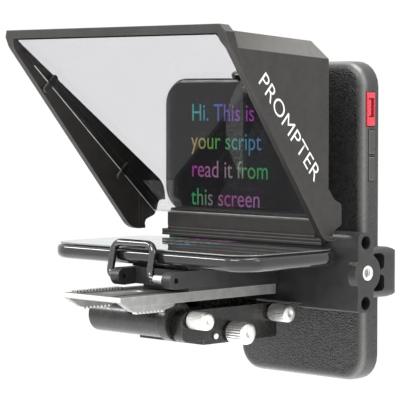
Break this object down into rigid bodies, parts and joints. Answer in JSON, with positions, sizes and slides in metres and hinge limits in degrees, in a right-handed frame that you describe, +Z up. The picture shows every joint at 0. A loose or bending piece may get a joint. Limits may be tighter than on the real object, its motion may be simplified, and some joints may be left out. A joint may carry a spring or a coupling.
{
  "type": "smartphone teleprompter",
  "caption": "Phone teleprompter: tapered hood with a slanted beam splitter over a flat display phone, and a camera phone clamped upright behind it.",
  "frame": {"origin": "on the underside of the clamp body, where the tripod head's platform meets it", "axes": "+X to the right seen from the talent, +Y from the talent towards the camera phone, +Z up"},
  "size_m": [0.1434, 0.134, 0.1625],
  "materials": {
    "hood_plastic": "satin black moulded plastic with a fine grain",
    "bar_metal": "satin black anodised",
    "clamp_metal": "semi-gloss black anodised",
    "rubber": "matt black rubber",
    "splitter_glass": "beam splitter coating, part mirror",
    "plate_metal": "fine blasted grey anodised",
    "nickel": "bright nickel plate",
    "chrome_wire": "polished chrome",
    "spring_steel": "bright steel",
    "brass": "plain machined brass",
    "screen_glass": "dark polished glass",
    "phone_frame": "polished black",
    "case_leather": "black pebbled leather",
    "key_metal": "satin grey",
    "red_accent": "bright red",
    "lens_glass": "coated lens glass"
  },
  "bodies": {
    "clamp": {"clamp_body": "clamp_metal", "tripod_bush": "brass", "gib_strip": "brass", "cross_tube": "clamp_metal", "tube_collar": "clamp_metal", "tube_end_screw": "nickel", "safety_screw": "nickel"},
    "front_screw": {"thumbscrew_front": "nickel"},
    "lock_screw": {"thumbscrew_lock": "nickel"},
    "rear_screw": {"thumbscrew_rear": "nickel"},
    "carriage": {"dovetail_plate": "plate_metal", "plate_tongue": "clamp_metal", "tongue_screw_front": "nickel", "tongue_screw_rear": "nickel", "plate_inlay_left": "rubber", "plate_inlay_right": "rubber", "cross_bar": "bar_metal", "threaded_insert": "nickel", "guide_rod_upper": "spring_steel", "guide_rod_lower": "spring_steel", "jaw_spring_upper": "spring_steel", "jaw_spring_lower": "spring_steel", "right_jaw": "bar_metal", "right_jaw_pad": "rubber", "phone_rest": "bar_metal", "rest_pad_left": "rubber", "rest_pad_right": "rubber", "rest_pad_rear": "rubber"},
    "sprung_jaw": {"left_jaw": "bar_metal", "left_jaw_pad": "rubber"},
    "bail": {"bail_wire": "chrome_wire", "bail_thread": "nickel"},
    "hood": {"hood_shell": "hood_plastic", "lens_collar": "hood_plastic", "light_seal": "rubber", "beam_splitter_glass": "splitter_glass", "glass_rail_left": "hood_plastic", "glass_rail_right": "hood_plastic", "glass_clip_upper_left": "hood_plastic", "glass_clip_upper_right": "hood_plastic", "glass_clip_lower_left": "hood_plastic", "glass_clip_lower_right": "hood_plastic", "hood_foot": "hood_plastic", "hood_hook_left": "bar_metal", "hood_hook_right": "bar_metal"},
    "display_phone": {"display_phone_body": "phone_frame", "display_screen": "screen_glass"},
    "display_power": {"display_power_button": "key_metal"},
    "display_volume": {"display_volume_key": "key_metal"},
    "camera_phone": {"camera_phone_case": "case_leather", "camera_phone_body": "phone_frame", "camera_phone_screen": "screen_glass", "camera_island": "phone_frame", "camera_lens_upper": "lens_glass", "camera_lens_lower": "lens_glass", "accent_frame": "red_accent"},
    "mute": {"mute_switch": "red_accent"},
    "volume_up_key": {"volume_up": "key_metal"},
    "volume_down_key": {"volume_down": "key_metal"},
    "power_key": {"power_button": "key_metal"}
  },
  "joints": [
    {"name": "plate_slide", "type": "slide", "parent": "clamp", "child": "carriage", "axis": [0, 1, 0], "range_m": [-0.019, 0]},
    {"name": "front_screw_turn", "type": "hinge", "parent": "clamp", "child": "front_screw", "pos_m": [0.024, -0.0296, 0.012], "axis": [1, 0, 0], "continuous": true},
    {"name": "lock_screw_turn", "type": "hinge", "parent": "clamp", "child": "lock_screw", "pos_m": [0.024, -0.0034, 0.0046], "axis": [1, 0, 0], "continuous": true},
    {"name": "rear_screw_turn", "type": "hinge", "parent": "clamp", "child": "rear_screw", "pos_m": [0.024, 0.023, 0.0117], "axis": [1, 0, 0], "continuous": true},
    {"name": "jaw_slide", "type": "slide", "parent": "carriage", "child": "sprung_jaw", "axis": [-1, 0, 0], "range_m": [0, 0.01], "stiffness_N_per_m": 400, "springref_m": -0.004, "deforming": ["jaw_spring_upper", "jaw_spring_lower"]},
    {"name": "bail_swing", "type": "hinge", "parent": "carriage", "child": "bail", "pos_m": [0, -0.043, 0.0306], "axis": [1, 0, 0], "range_deg": [0, 100]},
    {"name": "hood_lift", "type": "slide", "parent": "carriage", "child": "hood", "axis": [0, 0, 1], "range_m": [0, 0.07]},
    {"name": "display_phone_slide", "type": "slide", "parent": "carriage", "child": "display_phone", "axis": [-1, 0, 0], "range_m": [0, 0.15]},
    {"name": "camera_phone_lift", "type": "slide", "parent": "carriage", "child": "camera_phone", "axis": [0, 0, 1], "range_m": [0, 0.17]},
    {"name": "display_power_press", "type": "slide", "parent": "display_phone", "child": "display_power", "axis": [0, -1, 0], "range_m": [0, 0.0004], "stiffness_N_per_m": 600},
    {"name": "display_volume_press", "type": "slide", "parent": "display_phone", "child": "display_volume", "axis": [0, -1, 0], "range_m": [0, 0.0004], "stiffness_N_per_m": 600},
    {"name": "mute_slide", "type": "slide", "parent": "camera_phone", "child": "mute", "axis": [0, 1, 0], "range_m": [0, 0.0012]},
    {"name": "volume_up_press", "type": "slide", "parent": "camera_phone", "child": "volume_up_key", "axis": [-1, 0, 0], "range_m": [0, 0.0004], "stiffness_N_per_m": 600},
    {"name": "volume_down_press", "type": "slide", "parent": "camera_phone", "child": "volume_down_key", "axis": [-1, 0, 0], "range_m": [0, 0.0004], "stiffness_N_per_m": 600},
    {"name": "power_press", "type": "slide", "parent": "camera_phone", "child": "power_key", "axis": [1, 0, 0], "range_m": [0, 0.0004], "stiffness_N_per_m": 600}
  ]
}
